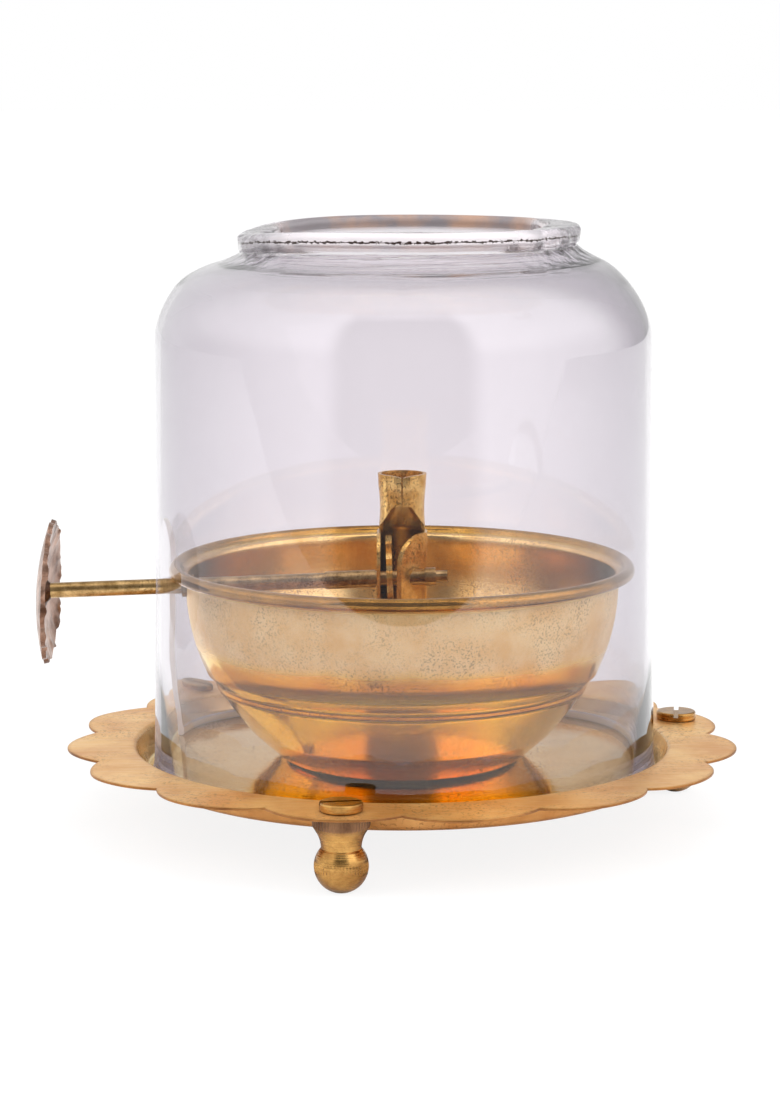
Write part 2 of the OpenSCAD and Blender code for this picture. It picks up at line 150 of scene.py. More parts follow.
def brassFinish(name, look):
    material, tree = newMaterial(name)
    coords = addNode(tree, "ShaderNodeTexCoord").outputs["Object"]
    cloud = grain(tree, coords, look["cloudMm"], *patina["cloudDetail"])
    line = grain(tree, coords, look["lineMm"], 3.0)
    colour = twoTone(tree, cloud, look)
    rough = remap(tree, line, patina["lines"], *look["rough"])
    metal = look.get("metal", 1.0)
    for zone in look.get("zones", []):
        mask = maskOn(tree, zone["mask"])
        colour = blend(tree, mask, colour, twoTone(tree, cloud, zone))
        rough = blend(tree, mask, rough, zone["rough"], "FLOAT")
        metal = blend(tree, mask, metal, zone["metal"], "FLOAT")
    grit = grain(tree, coords, look["speckMm"], *patina["gritDetail"])
    patch = grain(tree, coords, look["speckMm"] * patina["clusterSize"], 2.0)
    cluster = remap(tree, patch, patina["clusters"], 0.0, look["speckDark"])
    speck = remap(tree, grit, (look["speckFrom"], look["speckFrom"] + patina["speckFade"]), 0.0, cluster)
    colour = blend(tree, speck, colour, linear(look["stain"]))
    height = maths(tree, "MULTIPLY_ADD", speck, -look["pit"], line)
    bump = addNode(tree, "ShaderNodeBump", {
        "Strength": look["bump"], "Distance": patina["reliefMm"] * mm, "Height": height})
    shader = addNode(tree, "ShaderNodeBsdfPrincipled", {
        "Base Color": colour, "Metallic": metal, "Roughness": rough, "Normal": bump.outputs[0],
        "Coat Weight": look.get("lacquer", 0.0), "Coat Roughness": patina["coatRough"]})
    addNode(tree, "ShaderNodeOutputMaterial", {"Surface": shader.outputs[0]})
    return material


# sheet brass: petals satin and tan under a dull film, the pan polished; faces turned down rougher and darker, the
# darkness painted shade; the cut edge rough and brown, the brown a painted shaded dark line along each petal
plateLook = {
    "pale": "#ECC07E", "deep": "#D69C5A", "stain": "#7A4F2A", "cloudMm": 13, "lineMm": (9, 1.2, 9),
    "speckMm": 0.8, "speckFrom": 0.55, "speckDark": 0.55, "pit": 1.0, "rough": (0.30, 0.44), "bump": 0.4,
    "metal": 0.76, "zones": [
        {"mask": "pan", "pale": "#F3D9A0", "deep": "#EBC988", "rough": 0.055, "metal": 1.0},
        # faces turned down: a rougher film, darker as painted shade
        {"mask": "under", "pale": "#D9A566", "deep": "#B98046", "rough": 0.35, "metal": 0.85},
        # the cut edge: brown as a painted dark line of shade along each petal
        {"mask": "cutEdge", "pale": "#A8743F", "deep": "#6E4526", "rough": 0.45, "metal": 0.9}]}

# spun brass: bright gold below, a pale hazy film above the band, browner inside and on the bead
bowlLook = {
    "pale": "#FCD446", "deep": "#F2C036", "stain": "#6A4828", "cloudMm": 10, "lineMm": (40, 40, 0.45),
    "speckMm": 0.48, "speckFrom": 0.53, "speckDark": 0.5, "pit": 1.0, "rough": (0.06, 0.14), "bump": 0.16,
    "lacquer": 0.1, "zones": [
        {"mask": "haze", "pale": "#FFE2A4", "deep": "#F3C67C", "rough": 0.46, "metal": 0.6},
        {"mask": "base", "pale": "#FFD03C", "deep": "#F6BE2E", "rough": 0.1, "metal": 1.0},
        {"mask": "inside", "pale": "#F0CE96", "deep": "#DAAE6E", "rough": 0.18, "metal": 1.0},
        {"mask": "bead", "pale": "#C2904A", "deep": "#885A2A", "rough": 0.09, "metal": 1.0}]}

# turned brass: lathe rings 0.35 mm apart, and the flange painted dark as shade under the plate
turnedLook = {
    "pale": "#BE9254", "deep": "#8A6234", "stain": "#5E3F20", "cloudMm": 5, "lineMm": (30, 30, 0.35),
    "speckMm": 0.6, "speckFrom": 0.58, "speckDark": 0.25, "pit": 0.4, "rough": (0.18, 0.34), "bump": 1.0,
    # the flange zone is painted shade, where the foot tucks under the plate
    "zones": [{"mask": "flange", "pale": "#7E5C40", "deep": "#523623", "rough": 0.4, "metal": 0.8}]}

# bright rolled sheet with brown heat stains
holderLook = {
    "pale": "#EFCB82", "deep": "#CC9A4A", "stain": "#4A2E14", "cloudMm": 3.5, "lineMm": (3, 3, 14),
    "speckMm": 0.6, "speckFrom": 0.53, "speckDark": 0.6, "pit": 0.5, "rough": (0.14, 0.28), "bump": 0.25,
    "metal": 0.85}

# drawn rod, olive brown, lines along its length
rodLook = {
    "pale": "#C6A472", "deep": "#8A6C42", "stain": "#463319", "cloudMm": 3, "lineMm": (14, 0.5, 0.5),
    "speckMm": 0.6, "speckFrom": 0.52, "speckDark": 0.5, "pit": 0.4, "rough": (0.26, 0.42), "bump": 0.2}

# oil-darkened bush
bushLook = {
    "pale": "#B08A50", "deep": "#6A4C2B", "stain": "#2C1D12", "cloudMm": 2, "lineMm": (6, 0.6, 0.6),
    "speckMm": 0.6, "speckFrom": 0.5, "speckDark": 0.7, "pit": 0.4, "rough": (0.30, 0.45), "bump": 0.3}

# tarnished knob, mauve brown; darker round its hub, painted shade in the dish's hollow middle
knobLook = {
    "pale": "#AA8A78", "deep": "#604232", "stain": "#38241C", "cloudMm": 6, "lineMm": (4, 4, 4),
    "speckMm": 2.6, "speckFrom": 0.54, "speckDark": 0.5, "pit": 0.6, "rough": (0.30, 0.42), "bump": 0.25,
    "metal": 0.85,
    # the hub zone is painted shade in the dish's hollow middle
    "zones": [{"mask": "hub", "pale": "#6E4E3C", "deep": "#3C2A20", "rough": 0.45, "metal": 0.8}]}

# clear soda glass, greyer at grazing angles; its lip is white outside above a sooty seam, and amber inside
# heights on the lip run from 0 at its neck to 1 at its top
glassLook = {
    "tint": "#F3EFF3", "rim": "#A6A3AB", "rimBlend": 0.35, "ior": 1.5,
    "smoke": ((0.40, "#4C4245"), (0.58, "#8F6036")), "smokeMm": 11, "stainAt": (0.35, 0.55),
    "stainMost": 0.85, "crumpleClears": 0.8,
    "frost": "#D6CFD3", "frostRough": 0.45, "bandBelow": (0.14, 0.06), "bandMost": 0.75,
    "seam": "#2A1A14", "seamAt": 0.655, "seamHalf": (0.012, 0.065), "speckMm": (0.9, 0.9, 0.5),
    "specks": (0.46, 0.62), "streakMm": (26, 26, 2.4), "crumpleMm": 2.2, "bump": 0.35,
    "ground": "#E8E5EC", "groundRough": 0.5}


# finishes a glass: lamps shine through it, only tinted
def glassFinish(tree, settings):
    shader = addNode(tree, "ShaderNodeBsdfPrincipled", {"IOR": glassLook["ior"], **settings})
    path = addNode(tree, "ShaderNodeLightPath")
    clear = addNode(tree, "ShaderNodeBsdfTransparent", {"Color": linear(glassLook["tint"])})
    mixed = addNode(tree, "ShaderNodeMixShader", {
        0: path.outputs["Is Shadow Ray"], 1: shader.outputs[0], 2: clear.outputs[0]})
    addNode(tree, "ShaderNodeOutputMaterial", {"Surface": mixed.outputs[0]})


chimneyGlass, tree = newMaterial("chimneyGlass")
coords = addNode(tree, "ShaderNodeTexCoord").outputs["Object"]
lip, inside, shelf, crumple = [maskOn(tree, name) for name in ("lipHeight", "inside", "shelf", "crumple")]
outside = maths(tree, "SUBTRACT", 1.0, inside)
uncrumpled = maths(tree, "MULTIPLY_ADD", crumple, -glassLook["crumpleClears"], 1.0)
facing = addNode(tree, "ShaderNodeLayerWeight", {"Blend": glassLook["rimBlend"]}).outputs["Facing"]
tint = blend(tree, facing, linear(glassLook["tint"]), linear(glassLook["rim"]))
# amber and smoke inside the lip
smoke = addNode(tree, "ShaderNodeValToRGB", {
    "stops": glassLook["smoke"], "Fac": grain(tree, coords, glassLook["smokeMm"], 4.0)}).outputs[0]
stain = remap(tree, lip, glassLook["stainAt"], 0.0, glassLook["stainMost"])
stain = maths(tree, "MULTIPLY", maths(tree, "MULTIPLY", stain, inside), uncrumpled)
tint = blend(tree, stain, tint, smoke)
# white rolled band, from just under the seam upwards
band = remap(tree, lip, [glassLook["seamAt"] - b for b in glassLook["bandBelow"]], 0.0, glassLook["bandMost"])
band = maths(tree, "MULTIPLY", maths(tree, "MULTIPLY", band, outside), uncrumpled)
tint = blend(tree, band, tint, linear(glassLook["frost"]))
# sooty seam: a fine line that swells into specks
dots = grain(tree, coords, glassLook["speckMm"], 2.0)
wide = remap(tree, dots, glassLook["specks"], *glassLook["seamHalf"])
off = maths(tree, "ABSOLUTE", maths(tree, "SUBTRACT", lip, glassLook["seamAt"]))
seam = maths(tree, "MULTIPLY", maths(tree, "LESS_THAN", off, wide), outside)
tint = blend(tree, seam, tint, linear(glassLook["seam"]))
cover = maths(tree, "MAXIMUM", stain, band)
rough = maths(tree, "MULTIPLY", cover, glassLook["frostRough"])
clear = maths(tree, "SUBTRACT", 1.0, maths(tree, "MAXIMUM", cover, seam))
# streaks round the neck and crumpled folds at both ends of the lip, as bump
parts = addNode(tree, "ShaderNodeSeparateXYZ", {0: coords}).outputs
flat = addNode(tree, "ShaderNodeVectorMath", {"operation": "MULTIPLY", 0: coords, 1: (1.0, 1.0, 0.0)})
reach = addNode(tree, "ShaderNodeVectorMath", {"operation": "LENGTH", 0: flat.outputs[0]}).outputs["Value"]
along = maths(tree, "SUBTRACT", reach, parts["Z"])
ringed = addNode(tree, "ShaderNodeCombineXYZ", {"X": parts["X"], "Y": parts["Y"], "Z": along}).outputs[0]
streak = maths(tree, "MULTIPLY", grain(tree, ringed, glassLook["streakMm"], 3.0), shelf)
relief = maths(tree, "MULTIPLY_ADD", grain(tree, coords, glassLook["crumpleMm"], 4.0), crumple, streak)
bump = addNode(tree, "ShaderNodeBump", {
    "Strength": 1.0, "Distance": glassLook["bump"] * mm, "Height": relief}).outputs[0]
glassFinish(tree, {"Base Color": tint, "Roughness": rough, "Transmission Weight": clear, "Normal": bump})

# the notch's ground edge and the melted heel, which scatter light instead of piping it
groundGlass, tree = newMaterial("groundGlass")
glassFinish(tree, {"Base Color": linear(glassLook["ground"]), "Roughness": glassLook["groundRough"]})

looks = {
    "plate_brass": brassFinish("plateBrass", plateLook),
    "bowl_brass": brassFinish("bowlBrass", bowlLook),
    "turned_brass": brassFinish("turnedBrass", turnedLook),
    "holder_brass": brassFinish("holderBrass", holderLook),
    "rod_brass": brassFinish("rodBrass", rodLook),
    "dark_brass": brassFinish("oiledBrass", bushLook),
    "tarnished_brass": brassFinish("tarnishedBrass", knobLook),
    "chimney_glass": chimneyGlass,
}
for name, piece in nodes.items():
    piece.data.materials.clear()
    piece.data.materials.append(looks[slotOf[name]])
print("materials on", len(nodes), "pieces")


# draws on from a vertex through (x, z) corners in mm; two more values round a corner off
def lineOn(bm, tip, corners):
    made = []
    for corner in corners:
        vert = bm.verts.new((corner[0] * mm, 0, corner[1] * mm))
        if tip:
            bm.edges.new((tip, vert))
        tip = vert
        made.append(vert)
    for vert, corner in zip(made, corners):
        if len(corner) > 2:
            bmesh.ops.bevel(bm, geom=[vert], affect="VERTICES", offset=corner[2] * mm, segments=corner[3],
                            profile=0.5, material=-1)
    return tip


# swings on from a vertex round (x, z), anticlockwise seen from the front
def arcOn(bm, tip, centre, degrees, steps):
    swung = bmesh.ops.spin(bm, geom=[tip], cent=(centre[0] * mm, 0, centre[1] * mm), axis=(0, -1, 0),
                           angle=math.radians(degrees), steps=steps)
    return next(g for g in swung["geom_last"] if isinstance(g, bmesh.types.BMVert))


# turns all that is drawn into a round piece about +Z
def spinRound(bm, steps):
    bmesh.ops.spin(bm, geom=bm.verts[:] + bm.edges[:], cent=(0, 0, 0), axis=(0, 0, 1), angle=math.tau,
                   steps=steps, use_merge=True)
    bmesh.ops.remove_doubles(bm, verts=bm.verts[:], dist=1e-6)
    bmesh.ops.recalc_face_normals(bm, faces=bm.faces[:])


def widen(vert, factor):
    vert.co.x *= factor
    vert.co.y *= factor


def addMasks(bm, names):
    return [bm.verts.layers.float.new(name) for name in names]


def shade(mesh, sharp):
    mesh.shade_smooth()
    mesh.set_sharp_from_angle(angle=math.radians(sharp))


def makePiece(bm, name, body, node, sharp):
    mesh = bpy.data.meshes.new(name)
    bm.to_mesh(mesh)
    bm.free()
    mesh.materials.append(looks[slotOf[node]])
    shade(mesh, sharp)
    piece = bpy.data.objects.new(name, mesh)
    scene.collection.objects.link(piece)
    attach(piece, body)
    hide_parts(node)
    return piece


# cuts a closed shape out of a piece, and keeps the result as its mesh
def cutAway(piece, bm, sharp):
    mesh = bpy.data.meshes.new("cutter")
    bm.to_mesh(mesh)
    bm.free()
    cutter = bpy.data.objects.new("cutter", mesh)
    scene.collection.objects.link(cutter)
    cut = piece.modifiers.new("cut", "BOOLEAN")
    cut.operation = "DIFFERENCE"
    cut.solver = "EXACT"
    cut.object = cutter
    bpy.context.view_layer.update()
    whole = piece.data
    piece.data = bpy.data.meshes.new_from_object(piece.evaluated_get(bpy.context.evaluated_depsgraph_get()))
    piece.data.name = whole.name
    piece.modifiers.clear()
    bpy.data.objects.remove(cutter)
    bpy.data.meshes.remove(mesh)
    bpy.data.meshes.remove(whole)
    shade(piece.data, sharp)


# radius of a ring of round lobes at an angle, lobes meeting at -90 degrees
def lobeEdge(angle, count, tip, lobe):
    pitch = 360 / count
    off = math.radians((math.degrees(angle) + 90) % pitch - pitch / 2)
    middle = tip - lobe
    return middle * math.cos(off) + math.sqrt(lobe ** 2 - (middle * math.sin(off)) ** 2)


spindle = next(j for j in frame["joints"] if j["name"] == "spindle_turn")
spindleTurn = Vector((1, 0, 0)).rotation_difference(Vector(spindle["axis"])).to_matrix().to_4x4()
spindlePlace = Matrix.Translation(spindle["pos_m"]) @ spindleTurn  # local +X runs along the rod
towardsX = Matrix.Rotation(math.pi / 2, 4, "Y")  # lays a piece made about +Z along the rod

# petal plate: spun pan, border drawn out into petals that are not quite flat
plate = {
    "panZ": 11.2, "petalZ": 17.4, "wall": 0.6, "midR": 30, "floorR": 58.48, "floorSet": 0.95,
    "lipR": 60.68, "lipSet": 0.85, "borderR": 63.0, "tipR": 76.1, "petals": 15, "petalR": 19.0,
    "wave": 0.45, "waveDrop": 0.35, "wavesPerM": 45, "waveSeed": 3.1, "bevel": 0.15, "rimTurn": 0.9,
    "edgeMm": 0.25, "panFade": (1.2, 0.4), "steps": 360, "sharp": 50,
    "rings": [0, 0.2, 0.4, 0.6, 0.8, 0.93, 1.0]}
border = plate["tipR"] - plate["borderR"]
bm = bmesh.new()
lineOn(bm, None, [
    (0, plate["panZ"]), (plate["midR"], plate["panZ"]),
    (plate["floorR"], plate["panZ"], plate["floorSet"], 6),
    (plate["lipR"], plate["petalZ"], plate["lipSet"], 6)] + [
    (plate["borderR"] + k * border, plate["petalZ"]) for k in plate["rings"]])
spinRound(bm, plate["steps"])
for vert in bm.verts:
    reach, angle = math.hypot(vert.co.x, vert.co.y) / mm, math.atan2(vert.co.y, vert.co.x)
    share = (reach - plate["borderR"]) / border
    if share > -1e-6:
        edge = lobeEdge(angle, plate["petals"], plate["tipR"], plate["petalR"])
        widen(vert, (plate["borderR"] + share * (edge - plate["borderR"])) / reach)
        spot = Vector((vert.co.x * plate["wavesPerM"], vert.co.y * plate["wavesPerM"], plate["waveSeed"]))
        vert.co.z += share * plate["wave"] * (noise.noise(spot) - plate["waveDrop"]) * mm
if sum(f.normal.z for f in bm.faces) < 0:
    bmesh.ops.reverse_faces(bm, faces=bm.faces[:])
bmesh.ops.solidify(bm, geom=bm.faces[:], thickness=plate["wall"] * mm)
rim = [e for e in bm.edges if len(e.link_faces) == 2 and e.calc_face_angle(0) > plate["rimTurn"]
       and min(v.co.to_2d().length for v in e.verts) > plate["borderR"] * mm]
bmesh.ops.bevel(bm, geom=rim, affect="EDGES", offset=plate["bevel"] * mm, segments=2, profile=0.5,
                material=-1)
bm.normal_update()
panMask, underMask, cutMask = addMasks(bm, ["pan", "under", "cutEdge"])
panEdge = (plate["lipR"] - plate["panFade"][0], plate["lipR"] + plate["panFade"][1])
for vert in bm.verts:
    reach = vert.co.to_2d().length / mm
    edge = lobeEdge(math.atan2(vert.co.y, vert.co.x), plate["petals"], plate["tipR"], plate["petalR"])
    vert[panMask] = 1.0 - smooth(*panEdge, reach) if vert.normal.z > 0 else 0.0
    # painted shade: faces turned down are darker
    vert[underMask] = 1.0 if vert.normal.z < 0 else 0.0
    # painted shade: a dark line along each petal's cut edge
    vert[cutMask] = max(0.0, 1 - (edge - reach) / plate["edgeMm"])
plateZ = [v.co.z / mm for v in bm.verts]
makePiece(bm, "petalPlate", "lamp", "base_plate", plate["sharp"])
print("petal plate z", round(min(plateZ), 2), "to", round(max(plateZ), 2))

# three turned feet: ball, neck, cove, and a flange with a knurled rim
foot = {
    "height": 16.8, "ballR": 5.75, "flatR": 1.5, "neckR": 4.25, "flareH": 2.9, "flareSet": 1.7,
    "flangeR": 6.1, "flangeT": 2.6, "flangeSet": 0.45, "chamfer": (0.3, 0.35), "knurl": 0.16,
    "knurlBand": 0.5, "flangeShadeFade": 0.8, "arcSteps": 28, "steps": 96, "sharp": 35, "ringR": 68.5,
    "firstAngle": -100.6}
ballZ = math.sqrt(foot["ballR"] ** 2 - foot["flatR"] ** 2)
neckZ = ballZ + math.sqrt(foot["ballR"] ** 2 - foot["neckR"] ** 2)
flangeZ = foot["height"] - foot["flangeT"]
swing = math.degrees(math.atan2(neckZ - ballZ, foot["neckR"]) + math.atan2(ballZ, foot["flatR"]))
for index, side in enumerate(["front", "right", "left"]):
    bm = bmesh.new()
    tip = lineOn(bm, None, [(0, 0), (foot["flatR"], 0)])
    tip = arcOn(bm, tip, (0, ballZ), swing, foot["arcSteps"])
    lineOn(bm, tip, [
        (foot["neckR"], flangeZ - foot["flareH"], foot["flareSet"], 8),
        (foot["flangeR"], flangeZ, foot["flangeSet"], 4),
        (foot["flangeR"], foot["height"] - foot["chamfer"][1]),
        (foot["flangeR"] - foot["chamfer"][0], foot["height"]), (0, foot["height"])])
    spinRound(bm, foot["steps"])
    flangeShadeMask, = addMasks(bm, ["flange"])
    for vert in bm.verts:
        reach = vert.co.to_2d().length
        # painted shade: darker up the flange, which sits under the plate
        vert[flangeShadeMask] = smooth(flangeZ - foot["flangeShadeFade"], flangeZ, vert.co.z / mm)
        step = round(math.atan2(vert.co.y, vert.co.x) / math.tau * foot["steps"])
        if step % 2 and reach > (foot["flangeR"] - foot["knurlBand"]) * mm:
            widen(vert, 1 - foot["knurl"] * mm / reach)
    angle = math.radians(foot["firstAngle"] + 120 * index)
    place = Vector((math.cos(angle), math.sin(angle), 0)) * foot["ringR"] * mm
    bmesh.ops.translate(bm, verts=bm.verts[:], vec=place)
    makePiece(bm, "turnedFoot." + side, "lamp", "foot_" + side, foot["sharp"])
print("feet made")

# oil bowl: one closed section from the base's middle, over the rolled bead and back inside
bowl = {
    "baseZ": 11.2, "wall": 1.0, "baseR": 27.3, "baseSet": 2.0, "baseIn": 0.5, "band": (34.7, 18.9, 0.5, 3),
    "bandFade": (18.4, 19.4), "stepZ": 30.1, "stepSet": 0.7, "coveH": 4.0, "coveD": 0.8, "coveSet": 0.8,
    "bellyR": 49.0, "bellyZ": 55.0, "neck": (0.1, 2.2), "neckSet": 0.8, "beadR": 1.45,
    "beadMid": (51.25, 57.7), "beadFrom": -138.7, "beadTo": 165.2, "beadFit": 0.02, "boreR": 2.52,
    "boreL": 6.0, "zoneMost": 0.9, "hazeZ": (38.0, 43.5), "hazeDrift": 0.9, "driftPerM": (70, 210),
    "driftFine": 0.6, "inward": -0.02, "upward": 0.5, "arcSteps": 28, "beadSteps": 22, "steps": 180,
    "sharp": 45}


def bellyAt(z, inset):
    return math.sqrt((bowl["bellyR"] - inset) ** 2 - (z - bowl["bellyZ"]) ** 2)


# the spun step on the outside, or on the inside by an inset
def stepLine(inset):
    low, high = bowl["stepZ"] + inset / 2, bowl["stepZ"] + bowl["coveH"]
    mid = bowl["stepZ"] + bowl["coveH"] / 2 + inset / 2
    return [(bellyAt(low, inset), low, bowl["stepSet"], 5),
            (bellyAt(mid, inset) - bowl["coveD"], mid, bowl["coveSet"], 5), (bellyAt(high, inset), high)]


inner = bowl["bellyR"] - bowl["wall"]
floorZ = bowl["baseZ"] + bowl["wall"]
wallDrop = bowl["bellyZ"] - bowl["stepZ"] - bowl["coveH"]
swing, swingIn = [math.degrees(math.asin(wallDrop / r)) for r in (bowl["bellyR"], inner)]
beadStart = math.radians(bowl["beadFrom"])
bm = bmesh.new()
tip = lineOn(bm, None, [
    (0, bowl["baseZ"]), (bowl["baseR"], bowl["baseZ"], bowl["baseSet"], 12), bowl["band"]] + stepLine(0))
tip = arcOn(bm, tip, (0, bowl["bellyZ"]), swing, bowl["arcSteps"])
tip = lineOn(bm, tip, [(bowl["beadMid"][0] + bowl["beadR"] * math.cos(beadStart),
                        bowl["beadMid"][1] + bowl["beadR"] * math.sin(beadStart))])
tip = arcOn(bm, tip, bowl["beadMid"], bowl["beadTo"] - bowl["beadFrom"], bowl["beadSteps"])
tip = lineOn(bm, tip, [(inner + bowl["neck"][0], bowl["bellyZ"] + bowl["neck"][1], bowl["neckSet"], 5),
                       (inner, bowl["bellyZ"])])
tip = arcOn(bm, tip, (0, bowl["bellyZ"]), -swingIn, bowl["arcSteps"])
lineOn(bm, tip, stepLine(bowl["wall"])[1::-1] + [
    (bowl["baseR"] - bowl["baseIn"], floorZ, bowl["baseSet"], 12), (0, floorZ)])
spinRound(bm, bowl["steps"])
bm.normal_update()
hazeMask, baseMask, insideMask, beadMask = addMasks(bm, ["haze", "base", "inside", "bead"])
for vert in bm.verts:
    reach, z = vert.co.to_2d().length / mm, vert.co.z / mm
    out = vert.co.to_2d().normalized().to_3d()
    rolled = math.dist((reach, z), bowl["beadMid"]) < bowl["beadR"] + bowl["beadFit"]
    within = vert.normal.dot(out) < bowl["inward"] or vert.normal.z > bowl["upward"]
    coarse, fine = [noise.noise(vert.co * k) for k in bowl["driftPerM"]]
    drift = bowl["hazeDrift"] * (coarse + bowl["driftFine"] * fine)
    vert[beadMask] = bowl["zoneMost"] if rolled else 0.0
    vert[baseMask] = 0.0 if within else 1.0 - smooth(*bowl["bandFade"], z)
    vert[insideMask] = bowl["zoneMost"] if within and not rolled else 0.0
    vert[hazeMask] = 0.0 if within or rolled else smooth(*bowl["hazeZ"], z + drift)
oilBowl = makePiece(bm, "oilBowl", "lamp", "oil_bowl", bowl["sharp"])
bushLow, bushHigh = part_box("spindle_bush")
bm = bmesh.new()
bmesh.ops.create_cone(bm, cap_ends=True, segments=32, radius1=bowl["boreR"] * mm, radius2=bowl["boreR"] * mm,
                      depth=bowl["boreL"] * mm,
                      matrix=Matrix.Translation((bushLow + bushHigh) / 2) @ spindleTurn @ towardsX)
cutAway(oilBowl, bm, bowl["sharp"])
print("bowl made,", len(oilBowl.data.polygons), "faces")

# wick holder: the solid's own mesh, its tube drawn in at the arch, flared and dented at the mouth
holder = {
    "cheekTop": 65.865, "mouth": 78.865, "flare": 0.22, "waist": -0.28, "waistEnd": 0.8, "dent": 0.55,
    "dentIn": 0.4, "dentDeg": 32, "dentFrom": 0.8, "sharp": 35,
    "cutsZ": [66.5, 68, 69.5, 71, 72.5, 74, 75.5, 76.5, 77.3, 78, 78.5]}
bm = bmesh.new()
bm.from_mesh(nodes["wick_holder"].data)
bmesh.ops.remove_doubles(bm, verts=bm.verts[:], dist=1e-6)
for cutZ in holder["cutsZ"]:
    bmesh.ops.bisect_plane(bm, geom=bm.verts[:] + bm.edges[:] + bm.faces[:], plane_co=(0, 0, cutZ * mm),
                           plane_no=(0, 0, 1))
for vert in bm.verts:
    share = (vert.co.z / mm - holder["cheekTop"]) / (holder["mouth"] - holder["cheekTop"])
    if share > 0:
        reach = vert.co.to_2d().length / mm
        off = abs(math.degrees(math.atan2(vert.co.x, -vert.co.y)))
        top = max(0.0, (share - holder["dentFrom"]) / (1 - holder["dentFrom"]))
        dent = max(0.0, 1 - off / holder["dentDeg"]) ** 1.5 * top ** 2
        waist = holder["waist"] * math.sin(math.pi * min(1.0, share / holder["waistEnd"]))
        widen(vert, 1 + (waist + holder["flare"] * share ** 4 - dent * holder["dentIn"]) / reach)
        vert.co.z -= dent * holder["dent"] * mm
bmesh.ops.recalc_face_normals(bm, faces=bm.faces[:])
makePiece(bm, "slottedHolder", "lamp", "wick_holder", holder["sharp"])
print("wick holder made")

# knob: dished scalloped disc, brazed on a little askew, lumpy at its rim
knob = {
    "out": 82.0, "radius": 16.3, "depth": 2.4, "sheet": 1.0, "scallops": 16, "lobe": 4.2, "from": 11.0,
    "askew": 5.0, "lump": 0.5, "lumpsPerM": (260, 600), "lumpFine": 0.4, "lumpShare": (0.25, 2.2),
    "lumpSide": 0.4, "arcSteps": 16, "steps": 192, "sharp": 40, "rodR": 1.74,
    "braze": [(4.6, 0.7), (3.9, 1.5, 0.4, 3), (2.5, 2.3, 0.5, 3)], "brazeZ": (0.5, 3.0),
    "brazeLump": 0.5, "brazeFrom": 2.0, "brazeSteps": 48, "hubShadeFade": (3.4, 6.5)}
dish = (knob["radius"] ** 2 + knob["depth"] ** 2) / (2 * knob["depth"])
bm = bmesh.new()
tip = lineOn(bm, None, [(knob["rodR"], dish - math.sqrt(dish ** 2 - knob["rodR"] ** 2))])
swing = math.degrees(math.asin(knob["radius"] / dish) - math.asin(knob["rodR"] / dish))
arcOn(bm, tip, (0, dish), swing, knob["arcSteps"])
spinRound(bm, knob["steps"])
for vert in bm.verts:
    reach, angle = vert.co.to_2d().length / mm, math.atan2(vert.co.y, vert.co.x)
    share = max(0.0, (reach - knob["from"]) / (knob["radius"] - knob["from"]))
    if share > 0:
        edge = lobeEdge(angle, knob["scallops"], knob["radius"], knob["lobe"])
        widen(vert, (knob["from"] + share * (edge - knob["from"])) / reach)
if sum(f.normal.z for f in bm.faces) > 0:
    bmesh.ops.reverse_faces(bm, faces=bm.faces[:])  # the skin faces away from the lamp
bmesh.ops.solidify(bm, geom=bm.faces[:], thickness=knob["sheet"] * mm)
for vert in bm.verts:
    reach = vert.co.to_2d().length / mm
    skin = dish - math.sqrt(dish ** 2 - min(reach, knob["radius"]) ** 2)
    if vert.co.z / mm > skin + knob["lumpSide"]:  # lumps on the lamp's side only, most at the rim
        coarse, fine = [noise.noise(vert.co * k) for k in knob["lumpsPerM"]]
        most = knob["lumpShare"][0] + (reach / knob["radius"]) ** 6 * knob["lumpShare"][1]
        vert.co.z += max(0.0, coarse + knob["lumpFine"] * fine) * knob["lump"] * most * mm
askew = Matrix.Rotation(math.radians(knob["askew"]), 3, "Y")
bmesh.ops.rotate(bm, verts=bm.verts[:], cent=(0, 0, 0), matrix=askew)
ring = bmesh.new()
first = lineOn(ring, None, [(knob["rodR"], knob["brazeZ"][0])])
last = lineOn(ring, first, knob["braze"] + [(knob["rodR"], knob["brazeZ"][1])])
ring.edges.new((last, first))
spinRound(ring, knob["brazeSteps"])
for vert in ring.verts:
    if vert.co.to_2d().length > knob["brazeFrom"] * mm:
        out = vert.co.to_2d().normalized().to_3d()
        vert.co += out * noise.noise(vert.co * knob["lumpsPerM"][1]) * knob["brazeLump"] * mm
joined = bpy.data.meshes.new("braze")
ring.to_mesh(joined)
ring.free()
bm.from_mesh(joined)
bpy.data.meshes.remove(joined)
hubShadeMask, = addMasks(bm, ["hub"])
for vert in bm.verts:
    # painted shade: darker towards the middle of the dish, round the hub
    vert[hubShadeMask] = 1 - smooth(*knob["hubShadeFade"], vert.co.to_2d().length / mm)
bmesh.ops.transform(bm, verts=bm.verts[:],
                    matrix=spindlePlace @ Matrix.Translation((-knob["out"] * mm, 0, 0)) @ towardsX)
scallopedKnob = makePiece(bm, "scallopedKnob", "spindle", "knob", knob["sharp"])
scallopedKnob.visible_glossy = False  # the chimney doesn't mirror it
print("knob made")

